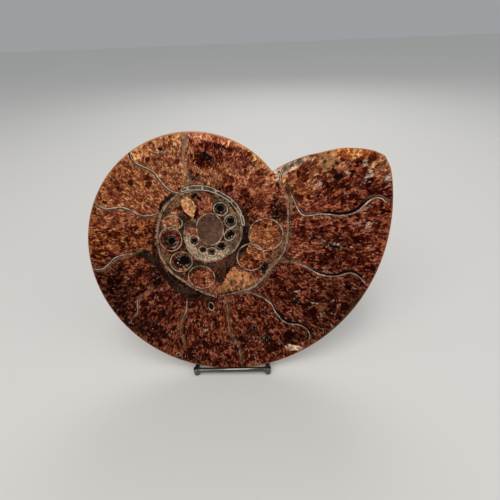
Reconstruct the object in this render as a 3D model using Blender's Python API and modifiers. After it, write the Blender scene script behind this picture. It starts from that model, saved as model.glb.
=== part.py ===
"""Half of an ammonite, sawn through the middle and polished, leaning on a small wire stand.

Metres, +Z up. X runs to the right along the sawn face, which looks towards -Y and leans back.
The origin is on the table, under the middle of the whole object.
"""

import math

import bmesh
import bpy
from mathutils import Vector, noise

MM = 0.001
FULL_TURN = 2 * math.pi

# Where the pole of the shell's spiral stands, and how the shell leans on its stand
POLE = Vector((-19.55 * MM, 0.0, 94.9 * MM))
LEAN = math.radians(20)
SETTLED_TURN = math.radians(1.6)

# The outline of every whorl is one logarithmic spiral around the pole
SPIRAL_RADIUS = 53.7 * MM
SPIRAL_GROWTH = 0.1258
FIRST_ANGLE = math.radians(45)
WHORL_RATIO = math.exp(-SPIRAL_GROWTH * FULL_TURN)

# The mouth is broken off: angle in degrees and distance from the pole, up to the notch
BROKEN_MOUTH = (
    (378.0, 123.1 * MM),
    (381.0, 123.7 * MM),
    (384.8, 122.6 * MM),
    (387.4, 118.0 * MM),
    (389.5, 112.8 * MM),
    (393.3, 102.1 * MM),
    (396.3, 90.4 * MM),
    (400.2, 78.1 * MM),
    (403.4, 66.5 * MM),
    (405.0, 59.3 * MM),
)
SPIRAL_STEP = 2.5
MOUTH_STEP = 1.0

# Cross-section of a half whorl, as shares of the whorl's outer radius
HALF_THICKNESS = 0.164
WIDEST = 0.45
UMBILICAL_SEAM = 0.2
VENTER_POWER = 2.2
FLANK_POWER = 0.75
SHOULDER_POWER = 3
LIP_ANGLE = math.radians(12)

# Matrix that fills the middle of the umbilicus on the back
PLUG_THICKNESS = 6.5 * MM
PLUG_BLEND = 1.2 * MM

# Rounded edge of the polished face, and the rings that the back is lofted through
RIM_WIDTH = 1.2 * MM
RIM_DEPTH = 1.4 * MM
RIM_WALL = 2.1 * MM
EDGE_DROP = 1.5 * MM
BACK_RINGS = (
    0.97, 0.93, 0.88, 0.81, 0.72, 0.62, 0.52, 0.44, 0.37,
    0.31, 0.27, 0.235, 0.205, 0.17, 0.12, 0.06,
)

# Open chambers in the middle of the face: right, up, half width, half height, turn in degrees
OPEN_CHAMBERS = (
    (-16.8, -17.0, 5.0, 4.2, 20.0),
    (-24.2, -3.4, 3.6, 3.4, 0.0),
    (8.7, 18.2, 3.6, 3.0, -20.0),
    (15.3, 10.3, 3.0, 3.2, 10.0),
    (14.7, 1.4, 3.3, 2.3, 60.0),
    (8.9, -6.5, 2.9, 2.3, 30.0),
    (2.4, -10.2, 2.4, 2.0, 0.0),
    (-8.9, -2.6, 2.2, 2.8, 0.0),
    (37.4, -21.2, 4.4, 1.5, 52.0),
    (39.6, -73.6, 3.0, 2.0, 15.0),
    (30.8, -65.6, 2.1, 2.0, 0.0),
    (82.8, -6.8, 4.6, 1.7, -18.0),
)
CHAMBER_DEPTH = 3.2 * MM
CHAMBER_ROUGHNESS = 0.18

# Stand: round rods of one gauge, a little foot under each corner
ROD_RADIUS = 1.7 * MM
TOUCHING_GAP = 0.3 * MM
STAND_X = POLE.x + 12.3 * MM
STAND_HALF_WIDTH = 25.6 * MM
STAND_HALF_DEPTH = 35.3 * MM
BAR_HEIGHT = 3.8 * MM
SIDE_ROD_HEIGHT = 3.0 * MM
FOOT_RADIUS = 2.3 * MM
FOOT_HEIGHT = 6.1 * MM
FOOT_SOLE_RADIUS = 1.9 * MM
BACKREST_TOP = -38.0 * MM
BACKREST_BOTTOM = -88.0 * MM
BACKREST_DEPTH = 19.5 * MM
BACKREST_BEND = 9.0 * MM
BEND_POINTS = 5
ROD_BEVEL_RESOLUTION = 4
FOOT_SIDES = 16


def material(name, color, roughness, metallic=0.0):
    """A plain Principled material."""
    made = bpy.data.materials.new(name)
    made.use_nodes = True
    shader = made.node_tree.nodes["Principled BSDF"]
    shader.inputs["Base Color"].default_value = (*color, 1.0)
    shader.inputs["Roughness"].default_value = roughness
    shader.inputs["Metallic"].default_value = metallic
    return made


def new_object(name, mesh, collection, surface=None):
    made = bpy.data.objects.new(name, mesh)
    collection.objects.link(made)
    if surface is not None:
        mesh.materials.append(surface)
    return made


def spiral_radius(angle):
    """Outer radius of the last whorl at an angle from the notch round to the mouth."""
    return SPIRAL_RADIUS * math.exp(SPIRAL_GROWTH * angle)


def mouth_radius(degrees):
    """Distance from the pole to the broken edge of the mouth."""
    for (before, near), (after, far) in zip(BROKEN_MOUTH, BROKEN_MOUTH[1:]):
        if degrees <= after:
            return near + (far - near) * (degrees - before) / (after - before)
    return BROKEN_MOUTH[-1][1]


def outline():
    """Angle and radius all round the shell, from the notch to just short of it."""
    first = math.degrees(FIRST_ANGLE)
    mouth = BROKEN_MOUTH[0][0]
    spiral_count = round((mouth - first) / SPIRAL_STEP)
    mouth_count = round((first + 360 - mouth) / MOUTH_STEP)
    points = []
    for index in range(spiral_count):
        angle = math.radians(first + (mouth - first) * index / spiral_count)
        points.append((angle, spiral_radius(angle)))
    for index in range(mouth_count):
        degrees = mouth + (first + 360 - mouth) * index / mouth_count
        points.append((math.radians(degrees), mouth_radius(degrees)))
    return points


def flank(share):
    """Height of a whorl's flank, as a share of its greatest, from the venter in to the middle."""
    if share >= 1:
        return 0.0
    if share > WIDEST:
        outward = (share - WIDEST) / (1 - WIDEST)
        return (1 - outward ** VENTER_POWER) ** FLANK_POWER
    if share > UMBILICAL_SEAM:
        up_the_wall = (share - UMBILICAL_SEAM) / (WIDEST - UMBILICAL_SEAM)
        return WHORL_RATIO + (1 - WHORL_RATIO) * (1 - (1 - up_the_wall) ** SHOULDER_POWER)
    return WHORL_RATIO * flank(share / WHORL_RATIO)


def whorl_thickness(radius, angle):
    size = spiral_radius(angle)
    return HALF_THICKNESS * size * flank(max(radius / size, 0.004))


def shell_thickness(radius, angle):
    """Thickness behind the sawn face, with the lip of the mouth and the plug of matrix."""
    thickness = whorl_thickness(radius, angle)
    last_angle = FIRST_ANGLE + FULL_TURN
    if angle > last_angle - LIP_ANGLE:
        share = (angle - last_angle + LIP_ANGLE) / LIP_ANGLE
        share = share * share * (3 - 2 * share)
        inner = whorl_thickness(radius, angle - FULL_TURN)
        inner = max(inner, whorl_thickness(radius * 0.9, angle - FULL_TURN) * 0.6)
        thickness += (inner - thickness) * share
    over = (thickness - PLUG_THICKNESS) / PLUG_BLEND
    if over > 20 or radius > WIDEST * SPIRAL_RADIUS:
        return thickness
    return PLUG_THICKNESS + PLUG_BLEND * math.log1p(math.exp(over))


def face_point(angle, radius, depth):
    """A point of the shell: X right, Z up along the face, Y back from it."""
    turned = angle - SETTLED_TURN
    return Vector((radius * math.cos(turned), depth, radius * math.sin(turned)))


def shell_mesh():
    """The half shell, lofted from the rim of its face through rings over its back."""
    edge = outline()
    rings = [
        [face_point(angle, radius - RIM_WIDTH, 0.0) for angle, radius in edge],
        [face_point(angle, radius, RIM_DEPTH) for angle, radius in edge],
    ]
    wall = []
    for angle, radius in edge:
        behind = shell_thickness(BACK_RINGS[0] * radius, angle)
        wall.append(face_point(angle, radius, max(RIM_WALL, behind - EDGE_DROP)))
    rings.append(wall)
    for share in BACK_RINGS:
        ring = []
        for angle, radius in edge:
            ring.append(face_point(angle, share * radius, shell_thickness(share * radius, angle)))
        rings.append(ring)

    work = bmesh.new()
    loops = [[work.verts.new(point) for point in ring] for ring in rings]
    work.faces.new(loops[0])
    for outer, inner in zip(loops, loops[1:]):
        for index in range(len(edge)):
            after = (index + 1) % len(edge)
            work.faces.new((outer[index], outer[after], inner[after], inner[index]))
    middle = work.verts.new((0.0, shell_thickness(0.0, FIRST_ANGLE), 0.0))
    for index in range(len(edge)):
        work.faces.new((loops[-1][index], loops[-1][(index + 1) % len(edge)], middle))
    bmesh.ops.triangulate(work, faces=work.faces)
    bmesh.ops.recalc_face_normals(work, faces=work.faces)
    mesh = bpy.data.meshes.new("ammonite_half")
    work.to_mesh(mesh)
    work.free()
    mesh.shade_smooth()
    mesh.set_sharp_from_angle(angle=math.radians(35))
    return mesh


def chamber_mesh(name, half_width, half_height, turn):
    """A rough egg that cuts one open chamber."""
    work = bmesh.new()
    bmesh.ops.create_icosphere(work, subdivisions=2, radius=1.0)
    for vertex in work.verts:
        rough = 1 + CHAMBER_ROUGHNESS * noise.noise(vertex.co * 2.1 + Vector((half_width / MM, turn, 0.0)))
        across = vertex.co.x * half_width * rough
        upward = vertex.co.z * half_height * rough
        vertex.co = Vector((
            across * math.cos(turn) - upward * math.sin(turn),
            vertex.co.y * CHAMBER_DEPTH * rough,
            across * math.sin(turn) + upward * math.cos(turn),
        ))
    bmesh.ops.recalc_face_normals(work, faces=work.faces)
    mesh = bpy.data.meshes.new(name)
    work.to_mesh(mesh)
    work.free()
    return mesh


def make_ammonite(parts, cutters, frame):
    surface = material("polished_shell", (0.36, 0.13, 0.06), 0.12)
    shell = new_object("ammonite_half", shell_mesh(), parts, surface)
    shell.parent = frame
    for number, (right, up, half_width, half_height, degrees) in enumerate(OPEN_CHAMBERS, start=1):
        name = f"open_chamber_{number}"
        turn = math.radians(degrees)
        cutter = new_object(name, chamber_mesh(name, half_width * MM, half_height * MM, turn), cutters)
        cutter.location = face_point(math.atan2(up, right), math.hypot(right, up) * MM, 0.0)
        cutter.parent = frame
        cutter.display_type = "WIRE"
        cutter.hide_render = True
        cut = shell.modifiers.new(name, "BOOLEAN")
        cut.operation = "DIFFERENCE"
        cut.solver = "EXACT"
        cut.object = cutter


def rod(name, points, parts, surface):
    """A round rod through the points, with closed ends."""
    curve = bpy.data.curves.new(name, "CURVE")
    curve.dimensions = "3D"
    curve.bevel_depth = ROD_RADIUS
    curve.bevel_resolution = ROD_BEVEL_RESOLUTION
    curve.use_fill_caps = True
    spline = curve.splines.new("POLY")
    spline.points.add(len(points) - 1)
    for point, place in zip(spline.points, points):
        point.co = (*place, 1.0)
    spline.use_smooth = True
    return new_object(name, curve, parts, surface)


def make_base(parts, surface):
    """The flat frame on the table: a bar in front and behind, and a rod along each side."""
    between_feet = STAND_HALF_WIDTH - FOOT_RADIUS - TOUCHING_GAP
    for name, y in (("front_bar", -STAND_HALF_DEPTH), ("rear_bar", STAND_HALF_DEPTH)):
        ends = [(STAND_X - between_feet, y, BAR_HEIGHT), (STAND_X + between_feet, y, BAR_HEIGHT)]
        rod(name, ends, parts, surface)
    along = STAND_HALF_DEPTH - FOOT_RADIUS - TOUCHING_GAP
    for name, x in side_places(("left_side_rod", "right_side_rod")):
        rod(name, [(x, -along, SIDE_ROD_HEIGHT), (x, along, SIDE_ROD_HEIGHT)], parts, surface)


def side_places(names):
    """Each name with the X of its side of the stand."""
    return zip(names, (STAND_X - STAND_HALF_WIDTH, STAND_X + STAND_HALF_WIDTH))


def foot_mesh():
    """Half of a foot's outline, from the middle of its top down to the middle of its sole."""
    work = bmesh.new()
    shoulder = FOOT_RADIUS * 0.45
    profile = (
        (0.0, FOOT_HEIGHT),
        (FOOT_RADIUS - shoulder, FOOT_HEIGHT),
        (FOOT_RADIUS - shoulder * 0.3, FOOT_HEIGHT - shoulder * 0.3),
        (FOOT_RADIUS, FOOT_HEIGHT - shoulder),
        (FOOT_RADIUS, FOOT_RADIUS - FOOT_SOLE_RADIUS),
        (FOOT_SOLE_RADIUS, 0.0),
        (0.0, 0.0),
    )
    corners = [work.verts.new((radius, 0.0, height)) for radius, height in profile]
    for first, second in zip(corners, corners[1:]):
        work.edges.new((first, second))
    mesh = bpy.data.meshes.new("foot")
    work.to_mesh(mesh)
    work.free()
    return mesh


def make_feet(parts, surface):
    for row, y in (("front", -STAND_HALF_DEPTH), ("rear", STAND_HALF_DEPTH)):
        for name, x in side_places((f"{row}_left_foot", f"{row}_right_foot")):
            foot = new_object(name, foot_mesh(), parts, surface)
            foot.location = (x, y, 0.0)
            turned = foot.modifiers.new("turned", "SCREW")
            turned.steps = FOOT_SIDES
            turned.render_steps = FOOT_SIDES
            turned.use_merge_vertices = True
            turned.merge_threshold = 0.00001
            turned.use_smooth_shade = True


def make_backrest(parts, frame, surface):
    """The hoop that the back of the shell leans on, parallel to the sawn face."""
    offset = STAND_X - POLE.x
    top_half = STAND_HALF_WIDTH - BACKREST_BEND
    bend_start = BACKREST_TOP - BACKREST_BEND
    leg_top = bend_start - TOUCHING_GAP
    for name, x in side_places(("backrest_left_leg", "backrest_right_leg")):
        across = x - POLE.x
        leg = rod(name, [(across, BACKREST_DEPTH, BACKREST_BOTTOM), (across, BACKREST_DEPTH, leg_top)],
                  parts, surface)
        leg.parent = frame
    arch = []
    for step in range(BEND_POINTS + 1):
        turn = math.pi / 2 * step / BEND_POINTS
        arch.append((top_half + BACKREST_BEND * math.cos(turn), bend_start + BACKREST_BEND * math.sin(turn)))
    right = [(offset + across, BACKREST_DEPTH, up) for across, up in arch]
    left = [(offset - across, BACKREST_DEPTH, up) for across, up in reversed(arch)]
    top = rod("backrest_top", right + left, parts, surface)
    top.parent = frame


def main():
    for old in list(bpy.data.objects):
        bpy.data.objects.remove(old)
    parts = bpy.data.collections.new("ammonite_on_stand")
    cutters = bpy.data.collections.new("cutters")
    bpy.context.scene.collection.children.link(parts)
    bpy.context.scene.collection.children.link(cutters)

    frame = bpy.data.objects.new("leaning_frame", None)
    frame.location = POLE
    frame.rotation_euler.x = -LEAN
    parts.objects.link(frame)

    metal = material("dark_nickel", (0.19, 0.18, 0.18), 0.14, metallic=1.0)
    make_ammonite(parts, cutters, frame)
    make_base(parts, metal)
    make_feet(parts, metal)
    make_backrest(parts, frame, metal)


main()
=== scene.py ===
# A sawn and polished ammonite half on its wire stand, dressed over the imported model.
import math

import bmesh
import bpy
import numpy as np
from mathutils import Matrix, Vector


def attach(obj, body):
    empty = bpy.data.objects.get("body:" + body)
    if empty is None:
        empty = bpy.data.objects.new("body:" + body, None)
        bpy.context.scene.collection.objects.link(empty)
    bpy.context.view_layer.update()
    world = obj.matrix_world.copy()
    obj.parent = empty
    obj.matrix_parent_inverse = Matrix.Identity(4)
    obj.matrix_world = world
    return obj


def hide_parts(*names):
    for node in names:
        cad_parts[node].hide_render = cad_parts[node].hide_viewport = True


MM = 0.001
FULL_TURN = 2 * math.pi

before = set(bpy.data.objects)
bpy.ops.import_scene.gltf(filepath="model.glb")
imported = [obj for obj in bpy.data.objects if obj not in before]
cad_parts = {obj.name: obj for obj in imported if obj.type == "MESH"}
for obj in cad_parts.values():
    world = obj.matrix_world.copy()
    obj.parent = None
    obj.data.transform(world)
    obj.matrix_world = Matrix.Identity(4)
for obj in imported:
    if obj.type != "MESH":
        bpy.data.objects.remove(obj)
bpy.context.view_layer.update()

# Where the shell sits: the pole of its spiral, and the lean and turn it settled at
POLE = Vector((-19.55, 0.0, 94.9)) * MM
LEAN = math.radians(20)
SETTLED_TURN = math.radians(1.6)

# Outline of the shell, distances in mm from the pole
SPIRAL_RADIUS = 53.7
SPIRAL_GROWTH = 0.1258
NOTCH = math.radians(45)
MOUTH_FROM = 378.0
BROKEN_MOUTH = (
    (378.0, 123.1), (381.0, 123.7), (384.8, 122.6), (387.4, 118.0), (389.5, 112.8), (393.3, 102.1),
    (396.3, 90.4), (400.2, 78.1), (403.4, 66.5), (405.0, 59.3),
)
WHORL_RATIO = math.exp(-SPIRAL_GROWTH * FULL_TURN)

# Cross-section of a half whorl, as shares of its outer radius
HALF_THICKNESS = 0.164
WIDEST = 0.45
UMBILICAL_SEAM = 0.2
LIP_ANGLE = math.radians(12)
PLUG_THICKNESS = 6.5
PLUG_BLEND = 1.2

# The photograph: focal length in pixels of its 500 pixel square, and the camera's place and turn
PHOTO_SIDE = 500
FOCAL_PIXELS = 350
SENSOR_WIDTH = 36.0
CAMERA_FROM_POLE = Vector((33.51, -193.88, 121.80)) * MM
CAMERA_PITCH = math.radians(34.47)
CAMERA_YAW = math.radians(1.785)
CAMERA_ROLL = math.radians(2.357)

# The wire stand, in mm: its place, its rods, and its hoop in the leaning frame of the face
STAND_X = 12.3
STAND_HALF_WIDTH = 25.6
STAND_HALF_DEPTH = 35.3
ROD_RADIUS = 1.7
BAR_HEIGHT = 3.8
SIDE_ROD_HEIGHT = 3.0
FOOT_RADIUS = 2.3
FOOT_HEIGHT = 6.1
HOOP_TOP = -38.0
HOOP_FOOT = -90.1
HOOP_DEPTH = 19.5
HOOP_BEND = 9.0
ROD_SIDES = 24

# Septa from the rim inwards, pale on their left. Each point: right and up of the pole in mm,
# half width, and how far the crack beside it is open (below 0, how faint the line is)
SEPTA = (
    ((-46.9, 54.0, 0.67, 1.0), (-46.3, 50.0, 0.67, 0.8), (-43.8, 46.9, 0.84, 0.3), (-40.0, 44.7, 0.92, 0.2),
     (-35.6, 42.8, 0.92, 0.2), (-31.9, 40.0, 0.92, 0.2), (-29.4, 36.3, 0.92, 0.3), (-26.3, 32.5, 0.84, 0.2),
     (-22.5, 29.4, 0.76, 0.2), (-17.5, 28.0, 0.67, 0.0)),
    ((-75.0, 23.4, 0.59, 0.9), (-72.5, 21.9, 0.67, 0.7), (-69.4, 19.4, 0.76, 0.4), (-65.0, 17.8, 0.84, 0.2),
     (-60.0, 18.4, 0.92, 0.1), (-55.0, 18.8, 0.92, 0.1), (-50.0, 17.2, 0.92, 0.2), (-45.6, 14.7, 0.84, 0.3),
     (-41.3, 13.4, 0.84, 0.3), (-35.6, 13.8, 0.76, 0.2), (-30.6, 15.6, 0.67, 0.1)),
    ((-79.0, -23.2, 0.60, -0.5), (-71.7, -22.7, 0.67, -0.2), (-67.0, -19.3, 0.76, 0.2),
     (-63.0, -15.3, 0.76, 0.2), (-58.3, -13.3, 0.67, 0.1), (-51.7, -12.3, 0.60, -0.3),
     (-47.7, -11.3, 0.55, -0.6), (-42.3, -8.0, 0.50, -0.8)),
    ((-56.0, -58.6, 0.42, -0.8), (-52.3, -56.7, 0.50, -0.6), (-50.3, -54.0, 0.59, -0.4),
     (-50.0, -49.3, 0.59, -0.3), (-49.7, -46.0, 0.59, -0.3), (-48.3, -43.3, 0.59, -0.4),
     (-45.0, -40.3, 0.50, -0.6), (-42.3, -38.3, 0.50, -0.8), (-38.3, -35.3, 0.50, -0.9)),
    ((-24.0, -88.0, 0.50, -0.9), (-19.0, -80.0, 0.60, -0.9), (-19.3, -74.7, 0.70, -0.9),
     (-21.0, -70.7, 0.70, -0.8), (-20.7, -64.7, 0.70, -0.6), (-19.3, -59.3, 0.70, -0.7),
     (-17.0, -54.7, 0.70, -0.4), (-15.7, -50.7, 0.70, 0.5), (-15.3, -45.3, 0.80, 0.7)),
    ((22.0, -94.4, 0.80, -0.6), (20.8, -84.8, 0.80, -0.6), (19.6, -79.2, 0.80, -0.6),
     (16.4, -74.4, 0.80, -0.6), (14.0, -69.6, 0.80, -0.6), (13.2, -62.4, 0.90, -0.7),
     (12.4, -56.0, 0.90, -0.75), (12.8, -49.6, 0.90, -0.75), (12.4, -43.6, 0.90, -0.8)),
    ((68.6, -76.5, 0.50, -0.7), (70.0, -72.0, 0.60, -0.1), (69.6, -68.8, 0.76, 0.9),
     (67.6, -65.6, 0.84, 1.0), (64.4, -63.2, 0.84, 1.0), (61.2, -62.0, 0.92, 1.0), (55.6, -61.6, 1.01, 1.0),
     (50.8, -59.2, 1.01, 1.0), (47.6, -55.2, 1.01, 0.9), (45.2, -52.0, 0.92, 0.7), (42.8, -47.2, 0.84, 0.4),
     (38.0, -43.2, 0.76, -0.1), (31.6, -40.0, 0.70, -0.4), (26.0, -38.4, 0.60, -0.5),
     (20.4, -39.2, 0.60, -0.6)),
    ((109.0, -34.6, 0.50, -0.7), (105.2, -31.2, 0.66, -0.2), (102.0, -27.6, 0.92, 1.0),
     (98.8, -25.2, 1.01, 1.0), (94.8, -24.0, 1.01, 1.0), (90.8, -24.8, 1.01, 1.0), (86.0, -26.4, 0.92, 1.0),
     (80.4, -26.4, 0.92, 1.0), (74.8, -25.2, 0.92, 0.8), (70.0, -22.8, 0.88, 0.5), (65.2, -20.0, 0.80, 0.1),
     (59.6, -17.6, 0.80, -0.4), (52.4, -16.4, 0.80, -0.7), (46.0, -17.2, 0.70, -0.8),
     (41.2, -20.8, 0.70, -0.8)),
    ((113.5, 23.5, 0.76, 0.2), (111.5, 25.4, 1.01, 0.2), (107.2, 26.1, 1.09, 0.3), (102.8, 23.7, 1.18, 0.6),
     (99.3, 20.2, 1.18, 0.9), (95.0, 16.7, 1.18, 1.0), (89.8, 15.0, 1.09, 1.0), (83.7, 14.6, 1.01, 1.0),
     (78.5, 15.4, 0.92, 0.9), (71.5, 15.4, 0.84, 0.2), (66.3, 14.6, 1.01, 0.1), (62.0, 15.0, 1.01, 0.1),
     (59.3, 17.6, 0.92, 0.1), (57.2, 22.0, 0.84, 0.1), (55.0, 26.3, 0.76, 0.0)),
)

# Walls between the whorls and around the small chambers: right, up, half width
WALLS = (
    ((48.5, 44.0, 0.91), (46.3, 37.6, 0.84), (48.9, 31.5, 0.76), (51.5, 25.4, 0.68), (52.4, 14.0, 0.68),
     (52.4, 5.4, 0.68), (52.0, -3.3, 0.68), (49.5, -11.0, 0.76), (45.0, -17.5, 0.84), (40.0, -23.0, 0.84),
     (36.0, -29.0, 0.84), (30.5, -34.5, 0.76), (24.0, -37.5, 0.68), (16.0, -39.5, 0.61),
     (8.0, -41.5, 0.53)),
    ((-18.5, 27.5, 0.61), (-24.0, 22.5, 0.68), (-28.5, 17.0, 0.76), (-31.5, 9.5, 0.68), (-33.0, 0.0, 0.61),
     (-32.4, -11.3, 0.68), (-29.5, -18.1, 0.84), (-24.2, -25.5, 0.84), (-17.4, -30.5, 0.68),
     (-12.6, -34.3, 0.61), (-7.4, -37.3, 0.61), (-3.2, -39.6, 0.61), (3.0, -41.5, 0.53)),
    ((-17.0, 27.6, 0.61), (-11.0, 29.6, 0.68), (-2.1, 30.2, 0.68), (5.5, 28.6, 0.61), (11.5, 25.6, 0.61),
     (16.0, 21.8, 0.61), (20.0, 15.6, 0.61), (21.8, 8.7, 0.61), (22.4, 1.4, 0.61), (20.8, -3.5, 0.61),
     (17.5, -9.0, 0.53), (11.5, -13.6, 0.53), (4.0, -16.6, 0.53), (-3.0, -16.8, 0.53), (-9.0, -14.2, 0.53),
     (-13.0, -9.0, 0.53), (-15.0, -3.5, 0.53), (-15.3, 1.5, 0.53), (-14.6, 6.3, 0.53)),
)

# Smooth or sandy fillings in strips: the filling's name, then right, up, half width
FILLING_STRIPS = (
    ("silt", ((-11.8, 66.5, 2.8), (-12.5, 58.0, 1.3), (-13.4, 50.0, 0.8), (-13.0, 44.4, 0.8),
              (-10.9, 40.0, 1.3), (-10.0, 33.5, 1.8))),
    ("clay", ((-10.6, 40.0, 1.0), (-5.8, 37.0, 0.8), (0.0, 34.0, 0.5))),
    ("clay", ((-76.0, -24.0, 0.6), (-71.7, -23.6, 0.9), (-66.6, -20.4, 0.9), (-62.6, -16.4, 0.8),
              (-58.1, -14.2, 0.7), (-51.7, -13.2, 0.6))),
    ("dusk", ((-50.0, -13.0, 1.0), (-45.6, -12.0, 2.2), (-41.0, -12.4, 3.0), (-38.0, -17.0, 2.2))),
    ("umber", ((41.0, -19.0, 0.8), (47.0, -15.4, 1.1), (54.0, -14.8, 1.2), (60.0, -16.0, 0.8))),
    ("clay", ((43.0, -19.6, 1.2), (40.5, -24.5, 1.2), (36.5, -30.5, 1.4), (30.0, -36.0, 1.2),
              (22.0, -38.6, 1.2))),
    ("umber", ((50.5, 36.0, 1.0), (53.4, 28.0, 1.1), (54.2, 18.0, 1.0), (54.2, 8.0, 0.9), (53.8, -2.0, 0.9),
               (51.6, -10.0, 1.2))),
    ("umber", ((45.4, 10.0, 0.5), (48.6, 4.0, 1.6), (49.0, -3.0, 2.0), (46.6, -10.0, 2.0),
               (42.0, -16.0, 1.6), (38.6, -21.0, 1.6))),
    ("soot", ((-21.0, 27.5, 1.7), (-27.5, 22.5, 1.1), (-32.5, 13.0, 0.7), (-35.5, 2.0, 0.9),
              (-36.0, -9.0, 1.2), (-34.0, -18.5, 2.0), (-28.5, -28.5, 2.2), (-20.5, -36.0, 2.0),
              (-11.0, -41.5, 1.6), (-1.0, -44.0, 1.1), (8.0, -44.0, 0.7))),
    ("dusk", ((22.0, 20.0, 1.4), (25.4, 12.0, 1.5), (25.6, 5.0, 2.2), (24.4, -4.0, 3.0), (20.0, -11.5, 2.8),
              (14.0, -17.6, 2.8), (6.0, -20.0, 2.4), (-2.0, -20.2, 2.2), (-9.5, -19.0, 2.8),
              (-14.0, -25.6, 1.6))),
    ("umber", ((-31.0, 9.0, 1.3), (-31.6, -3.0, 1.5), (-29.6, -12.0, 2.4), (-26.4, -18.0, 2.8),
               (-21.0, -25.0, 2.0), (-15.5, -29.5, 1.2))),
    ("umber", ((-29.0, 13.6, 1.8), (-24.6, 19.0, 2.6), (-19.2, 22.8, 2.8), (-15.4, 26.4, 1.6),
               (-8.0, 27.2, 1.4), (-1.0, 27.6, 1.0))),
    ("dusk", ((-16.4, 13.6, 2.4), (-15.8, 7.0, 2.2), (-16.6, 1.0, 1.8), (-16.2, -7.0, 1.8))),
    ("dusk", ((5.0, -27.0, 2.2), (8.0, -31.0, 1.6), (10.0, -22.5, 1.8))),
    ("soot", ((24.8, -2.0, 1.2), (24.2, -6.0, 1.4), (19.0, -13.6, 0.9))),
    ("shell", ((10.6, -9.4, 4.0), (15.4, -4.4, 3.8), (17.4, 1.6, 3.6), (17.2, 8.4, 3.8), (14.6, 14.6, 4.0),
               (10.0, 20.4, 4.4), (5.6, 24.6, 3.0))),
    ("cream", ((-12.6, 1.0, 1.4), (-12.4, -4.0, 2.2), (-9.4, -10.2, 2.8), (-3.2, -13.2, 3.0),
               (4.0, -13.0, 3.2), (9.8, -10.0, 3.2), (12.6, -8.4, 2.0))),
    ("clay", ((-14.5, 7.6, 1.4), (-10.0, 8.4, 2.0), (-6.0, 8.8, 2.8))),
    ("olive", ((103.5, -41.6, 2.4), (97.0, -53.0, 2.3), (88.0, -65.0, 2.3), (76.0, -77.0, 2.0))),
    ("soot", ((-27.0, -33.0, 1.0), (-18.0, -40.0, 1.6), (-10.0, -43.5, 1.8))),
    ("soot", ((-27.5, -24.5, 0.8), (-21.5, -30.5, 1.3), (-14.0, -36.4, 1.5), (-6.0, -39.8, 1.3),
              (2.0, -42.4, 0.8))),
)

# Siphuncle: the middle of its ring with its half width, and the numbers of the points it is parted at
SIPHUNCLE = (
    (-16.0, 29.8, 0.9), (-11.8, 31.2, 1.3), (-7.0, 31.7, 1.5), (-2.3, 31.6, 1.5), (1.7, 31.0, 1.4),
    (6.1, 29.3, 1.3), (11.3, 26.6, 1.2), (16.2, 23.2, 1.2), (19.6, 18.8, 1.2), (22.0, 14.4, 1.1),
    (23.2, 10.5, 1.0), (23.6, 7.4, 0.9),
)
SIPHUNCLE_PARTED = (0, 1, 3, 5, 7, 9, 11)

# Thin pale rings of the small chambers: right, up, half width, half height, turn in degrees
CHAMBER_RINGS = (
    (38.3, 1.5, 11.2, 10.8, 0), (28.4, -13.8, 9.2, 9.2, 0), (-24.4, -1.8, 7.4, 8.0, 0),
    (-18.2, -17.2, 7.6, 6.8, 20), (-22.6, 9.2, 6.4, 4.8, 0), (8.9, 18.2, 4.6, 4.2, -20),
    (-5.0, -28.0, 9.0, 8.0, -10), (1.0, -49.3, 2.0, 3.1, 10), (-23.7, -86.7, 1.5, 1.5, 0),
    (15.3, 10.3, 4.0, 4.3, 10), (14.6, 1.4, 4.2, 3.4, 60), (8.9, -6.5, 3.9, 3.3, 30),
    (2.4, -10.4, 3.3, 3.0, 0), (-3.4, -9.0, 2.7, 2.7, 0), (-9.2, -2.4, 3.2, 3.9, 0),
    (1.6, 4.9, 8.9, 10.6, 0),
)

# Fillings with a plain outline: the filling's name, then right and up of each corner
FILLING_OUTLINES = (
    ("tan", ((12.6, -25.5), (15.0, -21.8), (17.8, -20.6), (20.0, -22.6), (24.0, -22.2), (27.5, -25.4),
             (32.5, -28.2), (33.7, -30.4), (29.5, -33.9), (24.7, -36.0), (19.5, -37.6), (12.6, -38.0),
             (5.0, -39.5), (-1.0, -39.4), (3.5, -36.2), (8.5, -33.8), (10.8, -29.5))),
    ("sand", ((-16.8, 23.5), (-13.2, 26.1), (-8.9, 24.0), (-6.8, 20.3), (-7.9, 15.6), (-8.9, 11.9),
              (-11.6, 14.0), (-15.3, 17.2))),
    ("sand", ((70.7, 53.4), (70.5, 46.5), (73.4, 43.0), (77.0, 43.4), (80.2, 47.0), (80.7, 54.5))),
    ("matrix", ((42.5, 42.5), (43.5, 37.5), (47.5, 37.6), (53.0, 41.4), (58.5, 44.5), (66.0, 51.5),
                (58.0, 50.0), (50.0, 46.5))),
    ("matrix", ((52.0, -79.0), (56.0, -77.8), (62.0, -79.0), (66.5, -81.0), (62.0, -83.0), (55.0, -82.0))),
    ("disc", ((1.6, 15.2), (5.8, 14.0), (8.9, 10.4), (10.1, 5.0), (8.9, -0.6), (5.8, -4.2), (1.6, -5.4),
              (-2.6, -4.0), (-5.6, -0.4), (-6.8, 5.0), (-5.6, 10.4), (-2.6, 14.0))),
)

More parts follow.
